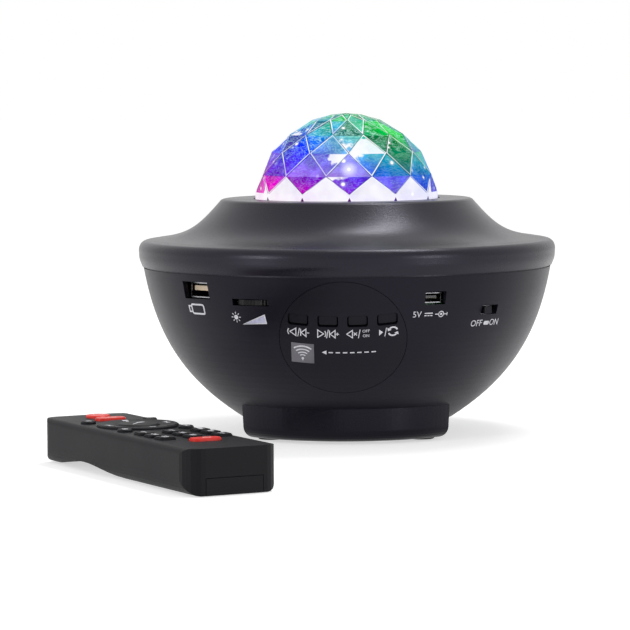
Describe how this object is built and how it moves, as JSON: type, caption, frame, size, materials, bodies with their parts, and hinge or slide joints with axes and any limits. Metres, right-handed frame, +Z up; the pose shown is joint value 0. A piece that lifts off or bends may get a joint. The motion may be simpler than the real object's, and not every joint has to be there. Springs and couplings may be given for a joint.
{
  "type": "star night light projector",
  "caption": "Bowl-shaped night light with a faceted clear dome, a round control panel, side sockets and wheel, an inner lamp and gear drive, a speaker in the foot, and a remote control.",
  "frame": {"origin": "centre of the standing base on the floor, on the middle axis of the bowl and dome", "axes": "+Z up along the bowl's middle axis, -Y towards the control panel, +X to the panel's right; the remote control lies on the floor in front on the -X side"},
  "size_m": [0.1947, 0.2952, 0.1289],
  "materials": {
    "housing_black": "satin moulded, fine texture",
    "panel_black": "satin moulded with pale printed marks",
    "window_grey": "satin translucent grey",
    "button_black": "satin",
    "wheel_black": "knurled satin",
    "foot_rubber": "matte",
    "screw_steel": "zinc plated",
    "board_green": "solder mask",
    "board_white": "white solder mask",
    "socket_metal": "bright nickel",
    "switch_metal": "tin plated",
    "dome_clear": "clear faceted acrylic",
    "clear_plastic": "clear moulded",
    "gear_white": "moulded acetal",
    "motor_metal": "plated can",
    "deck_white": "moulded",
    "lamp_white": "lamp dies",
    "laser_brass": "turned",
    "speaker_metal": "pressed and painted",
    "cone_paper": "coated paper",
    "remote_black": "satin moulded",
    "key_black": "satin with pale printed marks",
    "key_red": "satin red",
    "battery_wrap": "printed sleeve"
  },
  "bodies": {
    "projector": {"upper_housing": "housing_black", "lower_housing": "housing_black", "foot_base": "housing_black", "rubber_feet": "foot_rubber", "housing_screws": "screw_steel", "case_screws": "screw_steel", "small_screws": "screw_steel", "control_panel": "panel_black", "receiver_window": "window_grey", "control_board": "board_green", "media_socket": "socket_metal", "left_board": "board_green", "power_inlet": "socket_metal", "right_board": "board_green", "switch_body": "switch_metal", "dome_lens": "dome_clear", "dome_retainer": "button_black", "spindle_clip": "screw_steel", "drive_motor": "motor_metal", "optical_deck": "deck_white", "lamp_board": "board_white", "lamp_emitters": "lamp_white", "lamp_lenses": "clear_plastic", "laser_module": "laser_brass", "main_board": "board_green", "speaker_frame": "speaker_metal"},
    "button_previous": {"button_previous": "button_black"},
    "button_next": {"button_next": "button_black"},
    "button_mute": {"button_mute": "button_black"},
    "button_repeat": {"button_repeat": "button_black"},
    "dimmer": {"dimmer_wheel": "wheel_black"},
    "switch": {"switch_knob": "button_black"},
    "wave_disc": {"wave_plate": "clear_plastic", "wave_gear": "gear_white"},
    "pinion": {"motor_pinion": "gear_white"},
    "grating": {"grating_gear": "gear_white"},
    "cone": {"speaker_cone": "cone_paper"},
    "remote": {"remote_top_case": "remote_black", "remote_bottom_case": "remote_black", "remote_board": "board_green", "remote_batteries": "battery_wrap"},
    "door": {"battery_door": "remote_black"},
    "key_power": {"key_power": "key_red"},
    "key_source": {"key_source": "key_red"},
    "key_colour": {"key_colour": "key_red"},
    "key_ring": {"key_ring": "key_black"},
    "key_centre": {"key_centre": "key_black"},
    "key_round_1": {"key_round_1": "key_black"},
    "key_round_2": {"key_round_2": "key_black"},
    "key_round_3": {"key_round_3": "key_black"},
    "key_round_4": {"key_round_4": "key_black"},
    "key_square_1": {"key_square_1": "key_black"},
    "key_square_2": {"key_square_2": "key_black"},
    "key_square_3": {"key_square_3": "key_black"},
    "key_square_4": {"key_square_4": "key_black"},
    "key_square_5": {"key_square_5": "key_black"},
    "key_square_6": {"key_square_6": "key_black"},
    "key_square_7": {"key_square_7": "key_black"},
    "key_square_8": {"key_square_8": "key_black"},
    "key_square_9": {"key_square_9": "key_black"}
  },
  "joints": [
    {"name": "button_previous_press", "type": "slide", "parent": "projector", "child": "button_previous", "axis": [0, 0.911, 0.4124], "range_m": [0, 0.0008], "stiffness_N_per_m": 900, "springref_m": -0.0006},
    {"name": "button_next_press", "type": "slide", "parent": "projector", "child": "button_next", "axis": [0, 0.911, 0.4124], "range_m": [0, 0.0008], "stiffness_N_per_m": 900, "springref_m": -0.0006},
    {"name": "button_mute_press", "type": "slide", "parent": "projector", "child": "button_mute", "axis": [0, 0.911, 0.4124], "range_m": [0, 0.0008], "stiffness_N_per_m": 900, "springref_m": -0.0006},
    {"name": "button_repeat_press", "type": "slide", "parent": "projector", "child": "button_repeat", "axis": [0, 0.911, 0.4124], "range_m": [0, 0.0008], "stiffness_N_per_m": 900, "springref_m": -0.0006},
    {"name": "dimmer_turn", "type": "hinge", "parent": "projector", "child": "dimmer", "pos_m": [-0.03198, -0.06413, 0.0572], "axis": [0, 0, 1], "range_deg": [-135, 135]},
    {"name": "power_switch_slide", "type": "slide", "parent": "projector", "child": "switch", "axis": [0.6972, 0.7169, 0], "range_m": [0, 0.0035]},
    {"name": "wave_spin", "type": "hinge", "parent": "projector", "child": "wave_disc", "pos_m": [0, 0, 0.084], "axis": [0, 0, 1], "continuous": true},
    {"name": "pinion_spin", "type": "hinge", "parent": "projector", "child": "pinion", "pos_m": [0, 0.042, 0.08], "axis": [0, 0, 1], "continuous": true},
    {"name": "grating_spin", "type": "hinge", "parent": "projector", "child": "grating", "pos_m": [0, 0.025, 0.077], "axis": [0, 0, 1], "continuous": true},
    {"name": "cone_move", "type": "slide", "parent": "projector", "child": "cone", "axis": [0, 0, 1], "range_m": [-0.001, 0.001], "stiffness_N_per_m": 1500},
    {"name": "remote_lift", "type": "slide", "parent": "projector", "child": "remote", "axis": [0, 0, 1], "range_m": [0, 0.15]},
    {"name": "battery_door_slide", "type": "slide", "parent": "remote", "child": "door", "axis": [0.5, -0.866, 0], "range_m": [0, 0.06]},
    {"name": "key_power_press", "type": "slide", "parent": "remote", "child": "key_power", "axis": [0, 0, -1], "range_m": [0, 0.0005], "stiffness_N_per_m": 900, "springref_m": -0.0006},
    {"name": "key_source_press", "type": "slide", "parent": "remote", "child": "key_source", "axis": [0, 0, -1], "range_m": [0, 0.0005], "stiffness_N_per_m": 900, "springref_m": -0.0006},
    {"name": "key_colour_press", "type": "slide", "parent": "remote", "child": "key_colour", "axis": [0, 0, -1], "range_m": [0, 0.0005], "stiffness_N_per_m": 900, "springref_m": -0.0006},
    {"name": "key_ring_press", "type": "slide", "parent": "remote", "child": "key_ring", "axis": [0, 0, -1], "range_m": [0, 0.0005], "stiffness_N_per_m": 900, "springref_m": -0.0006},
    {"name": "key_centre_press", "type": "slide", "parent": "remote", "child": "key_centre", "axis": [0, 0, -1], "range_m": [0, 0.0005], "stiffness_N_per_m": 900, "springref_m": -0.0006},
    {"name": "key_round_1_press", "type": "slide", "parent": "remote", "child": "key_round_1", "axis": [0, 0, -1], "range_m": [0, 0.0005], "stiffness_N_per_m": 900, "springref_m": -0.0006},
    {"name": "key_round_2_press", "type": "slide", "parent": "remote", "child": "key_round_2", "axis": [0, 0, -1], "range_m": [0, 0.0005], "stiffness_N_per_m": 900, "springref_m": -0.0006},
    {"name": "key_round_3_press", "type": "slide", "parent": "remote", "child": "key_round_3", "axis": [0, 0, -1], "range_m": [0, 0.0005], "stiffness_N_per_m": 900, "springref_m": -0.0006},
    {"name": "key_round_4_press", "type": "slide", "parent": "remote", "child": "key_round_4", "axis": [0, 0, -1], "range_m": [0, 0.0005], "stiffness_N_per_m": 900, "springref_m": -0.0006},
    {"name": "key_square_1_press", "type": "slide", "parent": "remote", "child": "key_square_1", "axis": [0, 0, -1], "range_m": [0, 0.0005], "stiffness_N_per_m": 900, "springref_m": -0.0006},
    {"name": "key_square_2_press", "type": "slide", "parent": "remote", "child": "key_square_2", "axis": [0, 0, -1], "range_m": [0, 0.0005], "stiffness_N_per_m": 900, "springref_m": -0.0006},
    {"name": "key_square_3_press", "type": "slide", "parent": "remote", "child": "key_square_3", "axis": [0, 0, -1], "range_m": [0, 0.0005], "stiffness_N_per_m": 900, "springref_m": -0.0006},
    {"name": "key_square_4_press", "type": "slide", "parent": "remote", "child": "key_square_4", "axis": [0, 0, -1], "range_m": [0, 0.0005], "stiffness_N_per_m": 900, "springref_m": -0.0006},
    {"name": "key_square_5_press", "type": "slide", "parent": "remote", "child": "key_square_5", "axis": [0, 0, -1], "range_m": [0, 0.0005], "stiffness_N_per_m": 900, "springref_m": -0.0006},
    {"name": "key_square_6_press", "type": "slide", "parent": "remote", "child": "key_square_6", "axis": [0, 0, -1], "range_m": [0, 0.0005], "stiffness_N_per_m": 900, "springref_m": -0.0006},
    {"name": "key_square_7_press", "type": "slide", "parent": "remote", "child": "key_square_7", "axis": [0, 0, -1], "range_m": [0, 0.0005], "stiffness_N_per_m": 900, "springref_m": -0.0006},
    {"name": "key_square_8_press", "type": "slide", "parent": "remote", "child": "key_square_8", "axis": [0, 0, -1], "range_m": [0, 0.0005], "stiffness_N_per_m": 900, "springref_m": -0.0006},
    {"name": "key_square_9_press", "type": "slide", "parent": "remote", "child": "key_square_9", "axis": [0, 0, -1], "range_m": [0, 0.0005], "stiffness_N_per_m": 900, "springref_m": -0.0006}
  ],
  "couplings": [
    {"joint": "pinion_spin", "follows": "wave_spin", "ratio": -5},
    {"joint": "grating_spin", "follows": "wave_spin", "ratio": 3.5}
  ]
}
